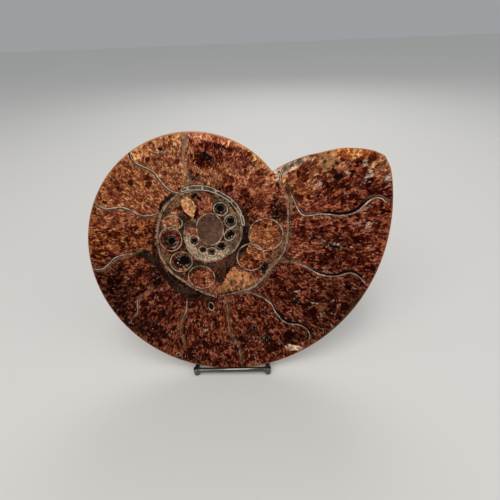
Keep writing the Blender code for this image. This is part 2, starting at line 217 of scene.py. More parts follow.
# Linear colours of the filling outside every region and of the other fillings, and their grit
PLAIN_TONE = (0.085, 0.025, 0.014)
FILLINGS = {
    "clay": (0.140, 0.075, 0.042),
    "silt": (0.290, 0.155, 0.092),
    "soot": (0.026, 0.012, 0.007),
    "dusk": (0.042, 0.019, 0.010),
    "umber": (0.100, 0.048, 0.024),
    "cream": (0.400, 0.285, 0.185),
    "shell": (0.170, 0.100, 0.056),
    "olive": (0.045, 0.026, 0.010),
    "sand": (0.430, 0.200, 0.086),
    "tan": (0.310, 0.132, 0.054),
    "matrix": (0.560, 0.360, 0.255),
    "disc": (0.120, 0.062, 0.039),
}
GRIT = {
    "clay": 0.9, "silt": 0.6, "soot": 0.9, "dusk": 1.0, "umber": 1.0, "shell": 1.0, "cream": 0.7,
    "olive": 0.7, "sand": 0.7, "tan": 1.0, "matrix": 1.0, "disc": 0.45,
}

# Open chambers in the face: right, up, half width, half height, turn in degrees, depth
OPEN_CHAMBERS = (
    (-16.6, -17.0, 5.2, 4.6, 20, 3.2), (-24.2, -3.4, 3.8, 3.6, 0, 3.0), (8.7, 18.2, 3.8, 3.4, -20, 3.0),
    (15.3, 10.3, 3.4, 3.4, 10, 2.8), (14.9, 1.4, 3.9, 2.5, 50, 2.8), (9.2, -6.7, 3.7, 2.4, 30, 2.6),
    (2.4, -10.4, 2.6, 2.3, 0, 2.2), (-3.4, -9.0, 2.0, 2.0, 0, 1.8), (-9.0, -3.0, 2.5, 2.5, 0, 2.4),
    (37.4, -21.2, 4.4, 1.5, 52, 1.8), (39.6, -73.6, 3.0, 1.9, 15, 1.8), (30.8, -65.6, 2.0, 1.9, 0, 1.6),
    (82.8, -6.8, 4.6, 1.4, -18, 1.4),
)

# Black spots and slots, painted near-black as the shade of holes: right, up, half width, half height, turn in
# degrees
BLACK_SPOTS = (
    (45.6, 33.0, 2.6, 0.9, -60), (-0.6, 51.0, 3.8, 1.1, 75), (0.6, 51.6, 3.2, 1.0, -25),
    (2.4, 49.4, 2.6, 0.9, 25), (-27.5, 55.6, 1.4, 1.0, 0), (58.0, -76.4, 2.6, 1.1, -10),
    (58.8, -45.6, 2.0, 1.6, 20), (68.4, -47.2, 2.2, 1.4, -10), (82.8, 38.5, 3.0, 1.9, 10),
    (76.7, 33.3, 1.3, 1.9, 0), (92.0, 41.5, 2.2, 1.1, -20), (90.0, -9.0, 2.4, 0.9, -10),
    (-16.8, -44.2, 0.7, 1.9, 15), (-32.3, -55.3, 1.4, 2.6, 10), (-33.0, -72.7, 2.4, 1.4, 30),
    (-4.0, -72.3, 1.3, 1.0, 0), (1.0, -49.3, 0.8, 1.7, 10), (-23.7, -86.7, 0.8, 0.8, 0),
    (-49.0, -66.6, 3.0, 1.2, -35), (69.0, -1.0, 2.4, 0.9, 30), (96.0, -9.8, 1.6, 0.8, 0),
    (-7.6, 26.8, 2.4, 1.2, 25), (-4.8, 25.2, 2.0, 1.0, -35),
)

# Pale flecks and crystal: right, up, half width, half height, turn in degrees
PALE_SPOTS = (
    (-9.0, 10.8, 1.1, 0.8, 0), (-6.8, 4.8, 0.6, 0.6, 0), (37.6, 41.5, 1.8, 0.5, 40),
    (-55.7, -62.0, 0.9, 0.9, 0), (-3.0, -67.3, 0.9, 0.9, 0),
    (59.6, -38.4, 2.6, 0.8, 30), (72.6, -46.4, 3.4, 0.7, -5), (76.0, -2.5, 1.6, 0.8, 10),
    (84.5, -4.5, 2.2, 0.7, -20), (94.0, -7.0, 2.4, 0.7, -10), (71.5, 34.0, 1.6, 2.2, 20),
    (102.0, 40.0, 3.2, 2.0, 50), (99.0, 47.0, 1.6, 2.4, 10), (114.0, 38.0, 2.0, 3.6, 10),
    (88.0, 41.5, 2.4, 0.8, -30), (-27.5, 53.5, 3.6, 0.6, 12), (104.0, 8.0, 2.2, 1.6, 60),
)

# Soft regions of the crystal filling: right, up, half width, half height, turn in degrees, name of the colour
TONES = (
    (-46, 30, 32, 24, 40, "amber"), (-42, 31, 9, 7, 20, "amber"), (-58, 12, 18, 6, 10, "cinnamon"),
    (-22, 46, 13, 18, 20, "honey"), (-30, 60, 19, 6, 27, "apricot"), (6, 51, 17, 13, -10, "russet"),
    (3, 49, 8, 6, -10, "garnet"), (12, 41, 20, 6, -20, "amber"), (10, 62, 22, 3.5, -12, "peach"),
    (38, 47, 16, 5, -48, "apricot"), (26, 36, 13, 8, -35, "cinnamon"), (38, 24, 9, 11, 20, "cinnamon"),
    (45, 18, 4.5, 7.5, 10, "blackened"), (27, 18, 5, 10, 20, "rust"), (-56, 2, 22, 13, 0, "tawny"),
    (-74, 2, 7, 16, 8, "tawny"), (-42, 2, 6, 9, 0, "tawny"), (-62, -33, 18, 16, 30, "dark garnet"),
    (-66, -42, 12, 9, 50, "blackened"), (-52, -62, 15, 9, -35, "dark garnet"),
    (-46, -24, 10, 10, 0, "mahogany"), (-38, -50, 11, 10, 0, "garnet"), (-28, -66, 14, 16, 10, "garnet"),
    (-4, -66, 14, 20, 0, "mahogany"), (-4, -86, 22, 9, 3, "garnet"), (32, -60, 17, 18, 30, "mahogany"),
    (34, -84, 18, 9, 20, "mahogany"), (60, -46, 17, 12, 20, "garnet"), (60, -32, 16, 8, 0, "garnet"),
    (86, -48, 16, 14, 50, "dark garnet"), (78, -70, 9, 8, 45, "dark garnet"),
    (81, -2, 22, 7, -6, "dark garnet"), (78, -13, 14, 7, -10, "mahogany"), (78, 4, 22, 8, 0, "rust"),
    (103, -6, 12, 18, 10, "mahogany"), (61, 0, 6, 16, 0, "russet"), (70, 29, 18, 11, 10, "russet"),
    (60, 33, 9, 8, 40, "amber"), (92, 32, 16, 13, 0, "rust"), (88, 53, 17, 3, -3, "flame"),
    (110, 45, 8, 8, 40, "honey"), (112, 12, 7, 14, 5, "mahogany"), (38, 2.5, 9.5, 9.5, 0, "amber"),
    (28.5, -11.5, 7.5, 7.5, 0, "amber"), (-3, -26, 13, 7, -12, "cinnamon"), (-22, 9, 6, 5, 0, "honey"),
    (-24, -5, 7, 7, 0, "garnet"), (-1.5, 21.5, 5, 5, 0, "cinnamon"), (8, -22, 6, 6, 0, "garnet"),
    (-24, -14, 6, 6, 30, "garnet"), (-9, 2, 3.5, 3, 0, "russet"), (56, -73, 10, 6, 20, "dark garnet"),
    (33, -72, 10, 4.5, -20, "dark garnet"), (-38, -27, 5, 7, 0, "blackened"),
    (-58, -13, 11, 5, 20, "garnet"), (2, 39, 8, 5, 0, "honey"), (72, 45, 16, 5, 0, "honey"),
    (71, -8, 4, 4, 0, "cinnamon"), (81, -18, 6, 4, 0, "dark garnet"), (99, 27, 5, 4, 0, "garnet"),
    (91, 45, 4, 3, 0, "mahogany"), (-9, -90, 7, 4, 0, "dark garnet"), (-39, -8, 5, 4, 0, "mahogany"),
)

# The crystal colours, linear
CRYSTAL_COLORS = {
    "peach": (0.40, 0.155, 0.08),
    "flame": (0.36, 0.125, 0.04),
    "apricot": (0.33, 0.13, 0.055),
    "honey": (0.22, 0.085, 0.04),
    "amber": (0.22, 0.075, 0.03),
    "cinnamon": (0.19, 0.06, 0.03),
    "tawny": (0.15, 0.048, 0.016),
    "russet": (0.155, 0.046, 0.024),
    "rust": (0.12, 0.036, 0.018),
    "mahogany": (0.10, 0.028, 0.013),
    "garnet": (0.078, 0.021, 0.01),
    "dark garnet": (0.052, 0.015, 0.007),
    "blackened": (0.03, 0.009, 0.005),
}

# Relief of the natural back, in mm
RIBS_PER_TURN = 30
RIB_HEIGHT = 0.32
SUTURES_PER_TURN = 16
UMBILICUS_EDGE = (13.0, 27.0)

# Grains get larger outwards, and are longer towards the rim than they are wide
GROWTH_SCALE = 60.0
GROWTH_POWER = 0.5

# Depth in mm of an open crack beside a septum
CRACK_DEPTH = 0.45

# Crystals in the open chambers: how many for each mm of size and depth, and their length in mm
CRYSTALS_PER_MM = 2.2
CRYSTAL_SIZE = (0.5, 1.2)

# Places in mm on the face (right, back, up) to places in the world
FACE_FRAME = (Matrix.Translation(POLE) @ Matrix.Rotation(-LEAN, 4, "X")
              @ Matrix.Rotation(SETTLED_TURN, 4, "Y") @ Matrix.Scale(MM, 4))

# Round the rim, in mm: how far each ring of points lies in from it, how deep the first ones lie,
# and the thickness that the shell keeps at its edge
RIM_INSETS = (1.0, 0.62, 0.42, 0.22, 0.15, 0.2, 0.35, 0.6)
EDGE_DEPTHS = (0.0, 0.08, 0.4, 1.0)
EDGE_THICKNESS = 2.1

# Grid of the shell's mesh, and the pieces that a line is rounded in between two points
CELLS = 212
CENTRE_GATHER = 1.25
RIM_CUTS = 6
LINE_STEPS = 4


# Camera, floor and lights

def make_camera():
    data = bpy.data.cameras.new("camera")
    data.lens = FOCAL_PIXELS / PHOTO_SIDE * SENSOR_WIDTH
    data.sensor_width = SENSOR_WIDTH
    data.clip_start = 0.01
    camera = bpy.data.objects.new("camera", data)
    place = Matrix.Translation(POLE + CAMERA_FROM_POLE)
    turn = Matrix.Rotation(CAMERA_YAW, 4, "Z") @ Matrix.Rotation(math.pi / 2 - CAMERA_PITCH, 4, "X")
    camera.matrix_world = place @ turn @ Matrix.Rotation(-CAMERA_ROLL, 4, "Z")
    bpy.context.scene.collection.objects.link(camera)
    bpy.context.scene.camera = camera


def make_floor():
    work = bmesh.new()
    bmesh.ops.create_grid(work, x_segments=1, y_segments=1, size=3.0)
    mesh = bpy.data.meshes.new("floor")
    work.to_mesh(mesh)
    work.free()
    floor = bpy.data.objects.new("floor", mesh)
    bpy.context.scene.collection.objects.link(floor)
    surface = bpy.data.materials.new("pale_floor")
    surface.use_nodes = True
    shader = surface.node_tree.nodes["Principled BSDF"]
    shader.inputs["Base Color"].default_value = (0.74, 0.72, 0.69, 1.0)
    shader.inputs["Roughness"].default_value = 0.7
    mesh.materials.append(surface)


def area_light(name, place, target, size, watts, color=(1.0, 1.0, 1.0)):
    data = bpy.data.lights.new(name, "AREA")
    data.shape = "RECTANGLE"
    data.size, data.size_y = size
    data.energy = watts
    data.color = color
    light = bpy.data.objects.new(name, data)
    light.location = place
    light.rotation_euler = (Vector(target) - Vector(place)).to_track_quat("-Z", "Y").to_euler()
    bpy.context.scene.collection.objects.link(light)


def make_lights():
    world = bpy.data.worlds.new("studio")
    world.use_nodes = True
    tree = world.node_tree
    place = tree.nodes.new("ShaderNodeTexCoord")
    height = tree.nodes.new("ShaderNodeSeparateXYZ")
    fade = tree.nodes.new("ShaderNodeValToRGB")
    fade.color_ramp.elements[0].position = 0.05
    fade.color_ramp.elements[0].color = (0.74, 0.77, 0.80, 1.0)
    fade.color_ramp.elements[1].position = 0.55
    fade.color_ramp.elements[1].color = (0.92, 0.96, 1.0, 1.0)
    tree.links.new(place.outputs["Generated"], height.inputs[0])
    tree.links.new(height.outputs[2], fade.inputs[0])
    tree.links.new(fade.outputs[0], tree.nodes["Background"].inputs["Color"])
    world.node_tree.nodes["Background"].inputs["Strength"].default_value = 0.45
    bpy.context.scene.world = world
    area_light("key", (-0.55, -0.65, 0.95), (0.0, 0.0, 0.08), (0.7, 0.7), 3.1, (1.0, 0.96, 0.90))
    area_light("top", (-0.04, -0.30, 1.05), (0.0, 0.0, 0.08), (0.26, 0.6), 2.4, (1.0, 0.97, 0.92))
    area_light("fill", (0.8, -0.4, 0.6), (0.0, 0.0, 0.08), (0.8, 0.8), 1.6, (1.0, 0.98, 0.95))
    area_light("back", (0.1, 0.8, 0.7), (0.0, 0.0, 0.08), (0.6, 0.6), 2.2)


# The shell's form

def spiral_radius(angle):
    return SPIRAL_RADIUS * np.exp(SPIRAL_GROWTH * angle)


def rim_radius(angle):
    """Distance in mm from the pole to the shell's rim, for angles from the notch once round."""
    degrees = np.degrees(angle)
    mouth = np.interp(degrees, [at for at, _ in BROKEN_MOUTH], [far for _, far in BROKEN_MOUTH])
    return np.where(degrees > MOUTH_FROM, mouth, spiral_radius(angle))


def smooth(low, high, value):
    share = np.clip((value - low) / (high - low), 0.0, 1.0)
    return share * share * (3 - 2 * share)


def whorl_place(share):
    """How far out a point lies in its own whorl, and how many whorls in from the last that is."""
    level = np.zeros_like(share)
    rest = np.maximum(share, 1e-4)
    for _ in range(8):
        inner = rest <= UMBILICAL_SEAM
        level = level + inner
        rest = np.where(inner, rest / WHORL_RATIO, rest)
    return rest, level


def flank(share):
    """Height of a half whorl's flank, each inner whorl a smaller copy of the next."""
    rest, level = whorl_place(share)
    outward = np.clip((rest - WIDEST) / (1 - WIDEST), 0.0, 1.0)
    outer = (1 - outward ** 2.2) ** 0.75
    up_the_wall = np.clip((rest - UMBILICAL_SEAM) / (WIDEST - UMBILICAL_SEAM), 0.0, 1.0)
    inner = WHORL_RATIO + (1 - WHORL_RATIO) * (1 - (1 - up_the_wall) ** 3)
    return np.where(rest > WIDEST, outer, inner) * WHORL_RATIO ** level


def rib_sway(rest):
    """How far round in radians a rib has swung forward at its place across the whorl."""
    across = (rest - UMBILICAL_SEAM) / (1 - UMBILICAL_SEAM)
    return 0.10 * np.sin(across * FULL_TURN * 0.9) - 0.14 * across ** 2


def ribs(radius, angle):
    """Height in mm of the weak ribs that sweep over the back."""
    rest, level = whorl_place(radius / spiral_radius(angle))
    across = (rest - UMBILICAL_SEAM) / (1 - UMBILICAL_SEAM)
    wave = np.cos(RIBS_PER_TURN * (angle + rib_sway(rest)))
    strength = smooth(0.02, 0.25, across) * smooth(1.02, 0.8, across) * smooth(*UMBILICUS_EDGE, radius)
    return RIB_HEIGHT * wave * strength * WHORL_RATIO ** level


def whorl_thickness(radius, angle):
    size = spiral_radius(angle)
    return HALF_THICKNESS * size * flank(radius / size)


def shell_thickness(radius, angle):
    thickness = whorl_thickness(radius, angle)
    last = NOTCH + FULL_TURN
    inner = whorl_thickness(radius, angle - FULL_TURN)
    inner = np.maximum(inner, 0.6 * whorl_thickness(radius * 0.9, angle - FULL_TURN))
    thickness = thickness + (inner - thickness) * smooth(last - LIP_ANGLE, last, angle)
    plugged = PLUG_THICKNESS + PLUG_BLEND * np.logaddexp(0.0, (thickness - PLUG_THICKNESS) / PLUG_BLEND)
    near = smooth(1.0, 0.8, radius / (WIDEST * SPIRAL_RADIUS))
    return thickness + (plugged - thickness) * near


def shell_grid():
    """A closed slab of grid cells in plain coordinates: two square sheets and the strip between."""
    work = bmesh.new()
    bmesh.ops.create_grid(work, x_segments=CELLS, y_segments=CELLS, size=1.0)
    grown = bmesh.ops.extrude_face_region(work, geom=work.faces[:], use_keep_orig=True)
    behind = [item for item in grown["geom"] if isinstance(item, bmesh.types.BMVert)]
    bmesh.ops.translate(work, verts=behind, vec=(0.0, 0.0, 1.0))
    across = [edge for edge in work.edges if abs(edge.verts[0].co.z - edge.verts[1].co.z) > 0.5]
    bmesh.ops.subdivide_edges(work, edges=across, cuts=RIM_CUTS, use_grid_fill=True)
    bmesh.ops.recalc_face_normals(work, faces=work.faces)
    mesh = bpy.data.meshes.new("ammonite")
    work.to_mesh(mesh)
    work.free()
    return mesh


def read_points(mesh):
    flat = np.empty(len(mesh.vertices) * 3, np.float32)
    mesh.vertices.foreach_get("co", flat)
    return flat.reshape(-1, 3).astype(float)


def bend_to_disc(across, upward):
    """Share of the way out and the angle of a square's point, when the square becomes a disc."""
    share = np.maximum(np.abs(across), np.abs(upward))
    safe = np.maximum(share, 1e-9)
    sideways = np.abs(across) >= np.abs(upward)
    angle = np.where(
        sideways,
        np.where(across >= 0, 0.0, math.pi) + math.pi / 4 * upward / np.where(across >= 0, safe, -safe),
        np.where(upward >= 0, math.pi / 2, -math.pi / 2)
        - math.pi / 4 * across / np.where(upward >= 0, safe, -safe),
    )
    return share, NOTCH + np.mod(angle - NOTCH + 1e-9, FULL_TURN)


def place_on_stand(right, up, depth):
    """World points in metres from places on the face in mm, turned, leaned and set on the stand."""
    turn = SETTLED_TURN
    x = right * math.cos(turn) + up * math.sin(turn)
    z = up * math.cos(turn) - right * math.sin(turn)
    points = np.stack([
        x,
        z * math.sin(LEAN) + depth * math.cos(LEAN),
        z * math.cos(LEAN) - depth * math.sin(LEAN),
    ], axis=1)
    return points * MM + np.array(POLE)


# What lies where on the sawn face

def smooth_line(points):
    """A rounder line through the same points, so that its sides meet without a kink."""
    line = np.array(points, float)
    before = np.vstack([2 * line[0] - line[1], line[:-1]])
    after = np.vstack([line[1:], 2 * line[-1] - line[-2]])
    slope = (after - before) / 2
    pieces = []
    for at, far, out, back in zip(line, line[1:], slope, slope[1:]):
        for step in range(LINE_STEPS):
            t = step / LINE_STEPS
            pieces.append((2 * t ** 3 - 3 * t ** 2 + 1) * at + (t ** 3 - 2 * t ** 2 + t) * out
                          + (3 * t ** 2 - 2 * t ** 3) * far + (t ** 3 - t ** 2) * back)
    pieces.append(line[-1])
    return np.array(pieces)


def nearest_line(right, up, lines):
    """Signed and plain distance to the nearest line in its half widths, and what else its points say."""
    signed = np.full(right.shape, 50.0)
    extra = np.zeros(right.shape)
    for points in lines:
        line = smooth_line(points)
        for start, end in zip(line, line[1:]):
            along = end[:2] - start[:2]
            length = max(np.hypot(*along), 1e-6)
            away_x = right - start[0]
            away_y = up - start[1]
            share = np.clip((away_x * along[0] + away_y * along[1]) / length ** 2, 0.0, 1.0)
            values = start[2:, None] + (end[2:] - start[2:])[:, None] * share
            far = np.hypot(away_x - share * along[0], away_y - share * along[1]) / values[0]
            side = np.where(along[0] * away_y - along[1] * away_x >= 0, 1.0, -1.0)
            closer = far < np.abs(signed)
            signed = np.where(closer, side * far, signed)
            if len(values) > 1:
                extra = np.where(closer, values[1], extra)
    return np.stack([signed, np.abs(signed), extra], axis=1)


def oval_share(right, up, oval):
    """How far out a point lies, as a share of the oval's own size, and the distance to its edge in mm."""
    across, height, half_width, half_height, degrees = oval[:5]
    turn = math.radians(degrees)
    x = (right - across) * math.cos(turn) + (up - height) * math.sin(turn)
    y = (up - height) * math.cos(turn) - (right - across) * math.sin(turn)
    share = np.hypot(x / half_width, y / half_height)
    slope = np.hypot(x / half_width ** 2, y / half_height ** 2) / np.maximum(share, 1e-6)
    inside = (share - 1) * min(half_width, half_height)
    distance = np.where(share > 0.5, (share - 1) / np.maximum(slope, 1e-6), inside)
    return share, distance


def nearest_oval(right, up, ovals):
    distance = np.full(right.shape, 50.0)
    for oval in ovals:
        distance = np.minimum(distance, oval_share(right, up, oval)[1])
    return distance


def nearest_ring(right, up):
    """Distance in mm to the line of the nearest chamber ring."""
    distance = np.full(right.shape, 50.0)
    for oval in CHAMBER_RINGS:
        signed = oval_share(right, up, oval)[1]
        distance = np.where(np.abs(signed) < np.abs(distance), signed, distance)
    return distance


def outline_distance(right, up, corners):
    """Distance in mm to a closed outline, less than 0 inside it."""
    distance = np.full(right.shape, 50.0)
    inside = np.zeros(right.shape, bool)
    for (x0, y0), (x1, y1) in zip(corners, corners[1:] + corners[:1]):
        share = np.clip(((right - x0) * (x1 - x0) + (up - y0) * (y1 - y0))
                        / ((x1 - x0) ** 2 + (y1 - y0) ** 2), 0.0, 1.0)
        distance = np.minimum(distance, np.hypot(right - x0 - share * (x1 - x0), up - y0 - share * (y1 - y0)))
        if y0 != y1:
            crossing = x0 + (up - y0) * (x1 - x0) / (y1 - y0)
            inside ^= ((y0 > up) != (y1 > up)) & (right < crossing)
    return np.where(inside, -distance, distance)


def nearest_filling(right, up):
    """Distance in mm to the nearest filling, less than 0 in it, that filling's colour and its grit."""
    distance = np.full(right.shape, 50.0)
    grit = np.zeros(right.shape)
    color = np.zeros((*right.shape, 3))
    found = []
    for name, points in FILLING_STRIPS:
        lined = nearest_line(right, up, (tuple((x, y, 1.0, half) for x, y, half in points),))
        found.append((name, lined[:, 1] - lined[:, 2]))
    for name, corners in FILLING_OUTLINES:
        found.append((name, outline_distance(right, up, corners)))
    for name, to_this in found:
        taken = (to_this < 0) | ((to_this < distance) & (distance > 0))
        distance = np.minimum(distance, to_this)
        color[taken] = FILLINGS[name]
        grit[taken] = GRIT[name]
    return distance, color, grit


def siphuncle_distance(right, up):
    """Distance in mm to the outline of the nearest segment of the siphuncle, less than 0 inside one."""
    line = smooth_line(SIPHUNCLE)
    along = np.gradient(line[:, :2], axis=0)
    side = np.stack([-along[:, 1], along[:, 0]], axis=1) / np.linalg.norm(along, axis=1)[:, None]
    distance = np.full(right.shape, 50.0)
    for first, last in zip(SIPHUNCLE_PARTED, SIPHUNCLE_PARTED[1:]):
        part = slice(LINE_STEPS * first, LINE_STEPS * last + 1)
        outer = line[part, :2] + side[part] * line[part, 2:]
        inner = line[part, :2] - side[part] * line[part, 2:]
        middle = (outer.mean(axis=0) + inner.mean(axis=0)) / 2
        corners = np.vstack([outer, inner[::-1]])
        shrunk = middle + (corners - middle) * 0.94
        distance = np.minimum(distance, outline_distance(right, up, [tuple(corner) for corner in shrunk]))
    return distance


def crystal_tone(right, up):
    """Colour of the crystal filling, each small region winning over the wider ones under it."""
    total = np.full(right.shape, 0.00003)
    color = total[:, None] * np.array(PLAIN_TONE)
    for tone in TONES:
        share = oval_share(right, up, tone)[0]
        weight = np.exp(-1.5 * share ** 4) / (tone[2] * tone[3]) ** 1.3
        total = total + weight
        color = color + weight[:, None] * np.array(CRYSTAL_COLORS[tone[5]])
    return color / total[:, None]


def keep_values(mesh, name, values):
    """Store values on the mesh's points for its material to read."""
    values = np.asarray(values, np.float32)
    kind = {1: "FLOAT", 3: "FLOAT_VECTOR"}[1 if values.ndim == 1 else values.shape[1]]
    layer = mesh.attributes.new(name, kind, "POINT")
    layer.data.foreach_set("value" if kind == "FLOAT" else "vector", values.ravel())


# The shell

def make_shell():
    mesh = shell_grid()
    grid = read_points(mesh)
    share, angle = bend_to_disc(grid[:, 0], grid[:, 1])
    ring = np.round(grid[:, 2] * (RIM_CUTS + 1)).astype(int)
    share = share ** CENTRE_GATHER
    rim = rim_radius(angle)
    front = ring == 0
    behind = ring == RIM_CUTS + 1
    inset = np.interp(ring, range(RIM_CUTS + 2), RIM_INSETS)
    radius = (rim - inset) * share
    right = radius * np.cos(angle)
    up = radius * np.sin(angle)

    septum = nearest_line(right, up, SEPTA)
    wall = nearest_line(right, up, WALLS)
    open_chamber = nearest_oval(right, up, OPEN_CHAMBERS)
    # Holes whose insides are painted near-black as shade: the open chambers and the black spots
    black = np.minimum(open_chamber, nearest_oval(right, up, BLACK_SPOTS))
    pale = nearest_oval(right, up, PALE_SPOTS)
    to_filling, filling, grit = nearest_filling(right, up)

    sunk = np.zeros_like(right)
    for chamber in OPEN_CHAMBERS:
        floor_share, from_edge = oval_share(right, up, chamber)
        sunk = np.maximum(sunk, chamber[5] * smooth(0.25, -0.9, from_edge) * (1 - 0.25 * floor_share ** 2))
    cracked = CRACK_DEPTH * septum[:, 2] * smooth(-1.7, -1.2, septum[:, 0]) * smooth(0.1, -0.4, septum[:, 0])
    sunk = np.maximum(sunk, np.where(rim - radius > 1.5, cracked, 0.0))

    thickness = np.sqrt(shell_thickness(radius, angle) ** 2 + EDGE_THICKNESS ** 2) + ribs(radius, angle)
    edge_depth = np.interp(ring, range(len(EDGE_DEPTHS)), EDGE_DEPTHS)
    last_edge = len(EDGE_DEPTHS) - 1
    down_the_wall = np.clip((ring - last_edge) / (RIM_CUTS + 1 - last_edge), 0.0, 1.0)
    depth = np.where(behind, thickness, edge_depth + (thickness - edge_depth) * down_the_wall)
    depth = np.where(front, sunk, depth)
    mesh.vertices.foreach_set("co", place_on_stand(right, up, depth).astype(np.float32).ravel())

    keep_values(mesh, "tone", crystal_tone(right, up))
    keep_values(mesh, "filling", filling)
    middle = np.minimum(np.minimum(septum[:, 1], wall[:, 1]), rim - radius)
    keep_values(mesh, "chamber", np.stack([grit, nearest_ring(right, up), np.minimum(middle, 30.0)], axis=1))
    keep_values(mesh, "septum", septum)
    keep_values(mesh, "wall", wall)
    keep_values(mesh, "spots", np.stack([black, pale, to_filling], axis=1))
    keep_values(mesh, "around", np.stack([rim - radius, radius, siphuncle_distance(right, up)], axis=1))
    drawn_out = GROWTH_SCALE * (radius / GROWTH_SCALE) ** GROWTH_POWER
    grown = np.stack([drawn_out * np.cos(angle), drawn_out * np.sin(angle), depth], axis=1)
    keep_values(mesh, "growth", grown)
    rest, level = whorl_place(radius / spiral_radius(angle))
    keep_values(mesh, "flank", np.stack([rest, level, ribs(radius, angle)], axis=1))
    suture = SUTURES_PER_TURN * (angle + rib_sway(rest))
    keep_values(mesh, "suture", np.stack([np.sin(suture), np.cos(suture), rest], axis=1))

    corner_of = np.empty(len(mesh.loops), np.int32)
    mesh.loops.foreach_get("vertex_index", corner_of)
    face_material = np.where((ring[corner_of] <= last_edge).reshape(-1, 4).all(axis=1), 0, 1).astype(np.int32)
    mesh.polygons.foreach_set("material_index", face_material)
    mesh.update()
    shell = bpy.data.objects.new("polished_ammonite_half", mesh)
    bpy.context.scene.collection.objects.link(shell)
    mesh.shade_smooth()
    mesh.materials.append(sawn_face())
    mesh.materials.append(natural_back())
    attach(shell, "root")
    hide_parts("ammonite_half")


# Finishes

class Finish:
    """A material whose nodes are added one after another."""

    def __init__(self, name):
        self.material = bpy.data.materials.new(name)
        self.material.use_nodes = True
        self.nodes = self.material.node_tree.nodes
        self.links = self.material.node_tree.links
        self.shader = self.nodes["Principled BSDF"]
        self.place = self.node("ShaderNodeTexCoord").outputs["Object"]

    def node(self, kind, **settings):
        made = self.nodes.new(kind)
        for name, value in settings.items():
            setattr(made, name, value)
        return made

    def put(self, socket, value):
        if isinstance(value, bpy.types.NodeSocket):
            self.links.new(value, socket)
        elif isinstance(value, tuple) and len(value) == 3 and socket.type == "RGBA":
            socket.default_value = (*value, 1.0)
        else:
            socket.default_value = value

    def math(self, operation, first, second=0.0):
        made = self.node("ShaderNodeMath", operation=operation)
        self.put(made.inputs[0], first)
        self.put(made.inputs[1], second)
        return made.outputs[0]

    def times(self, first, second):
        return self.math("MULTIPLY", first, second)

    def plus(self, first, second):
        return self.math("ADD", first, second)

    def minus(self, first, second):
        return self.math("SUBTRACT", first, second)

    def mix(self, share, first, second):
        made = self.node("ShaderNodeMix", data_type="RGBA", blend_type="MIX")
        self.put(made.inputs[0], share)
        self.put(made.inputs[6], first)
        self.put(made.inputs[7], second)
        return made.outputs[2]

    def step(self, value, low, high, start=0.0, end=1.0):
        made = self.node("ShaderNodeMapRange", interpolation_type="SMOOTHSTEP")
        self.put(made.inputs["Value"], value)
        for name, number in (("From Min", low), ("From Max", high), ("To Min", start), ("To Max", end)):
            self.put(made.inputs[name], number)
        return made.outputs["Result"]

    def band(self, value, low, high, soft):
        """1 between low and high, and 0 outside them."""
        rising = self.step(value, low - soft, low + soft)
        return self.times(rising, self.step(value, high - soft, high + soft, 1.0, 0.0))

    def noise(self, scale, detail=3.0, roughness=0.55, place=None, distortion=0.0):
        made = self.node("ShaderNodeTexNoise")
        self.put(made.inputs["Vector"], place or self.place)
        made.inputs["Scale"].default_value = scale
        made.inputs["Detail"].default_value = detail
        made.inputs["Roughness"].default_value = roughness
        made.inputs["Distortion"].default_value = distortion
        return made.outputs["Fac"]

    def cells(self, scale, place=None, feature="F1"):
        made = self.node("ShaderNodeTexVoronoi", feature=feature)
        self.put(made.inputs["Vector"], place or self.place)
        made.inputs["Scale"].default_value = scale
        return made

    def split(self, value):
        made = self.node("ShaderNodeSeparateXYZ")
        self.put(made.inputs[0], value)
        return made.outputs[0], made.outputs[1], made.outputs[2]

    def kept(self, name):
        return self.node("ShaderNodeAttribute", attribute_name=name).outputs["Vector"]

    def shaken(self, scale, size, detail=2.0):
        """The place in space, shaken about by a fine noise."""
        made = self.node("ShaderNodeTexNoise")
        self.put(made.inputs["Vector"], self.place)
        made.inputs["Scale"].default_value = scale
        made.inputs["Detail"].default_value = detail
        centred = self.node("ShaderNodeVectorMath", operation="SUBTRACT")
        self.put(centred.inputs[0], made.outputs["Color"])
        centred.inputs[1].default_value = (0.5, 0.5, 0.5)
        sized = self.node("ShaderNodeVectorMath", operation="SCALE")
        self.put(sized.inputs[0], centred.outputs[0])
        sized.inputs["Scale"].default_value = size
        moved = self.node("ShaderNodeVectorMath", operation="ADD")
        self.put(moved.inputs[0], self.place)
        self.put(moved.inputs[1], sized.outputs[0])
        return moved.outputs[0]

    def tint(self, color, by):
        made = self.node("ShaderNodeVectorMath", operation="MULTIPLY")
        self.put(made.inputs[0], color)
        self.put(made.inputs[1], by)
        return made.outputs[0]

    def bump(self, height, distance, strength=1.0):
        made = self.node("ShaderNodeBump")
        self.put(made.inputs["Height"], height)
        made.inputs["Distance"].default_value = distance
        made.inputs["Strength"].default_value = strength
        return made.outputs["Normal"]

    def finish(self, color, roughness, normal=None):
        self.put(self.shader.inputs["Base Color"], color)
        self.put(self.shader.inputs["Roughness"], roughness)
        if normal is not None:
            self.put(self.shader.inputs["Normal"], normal)
        return self.material


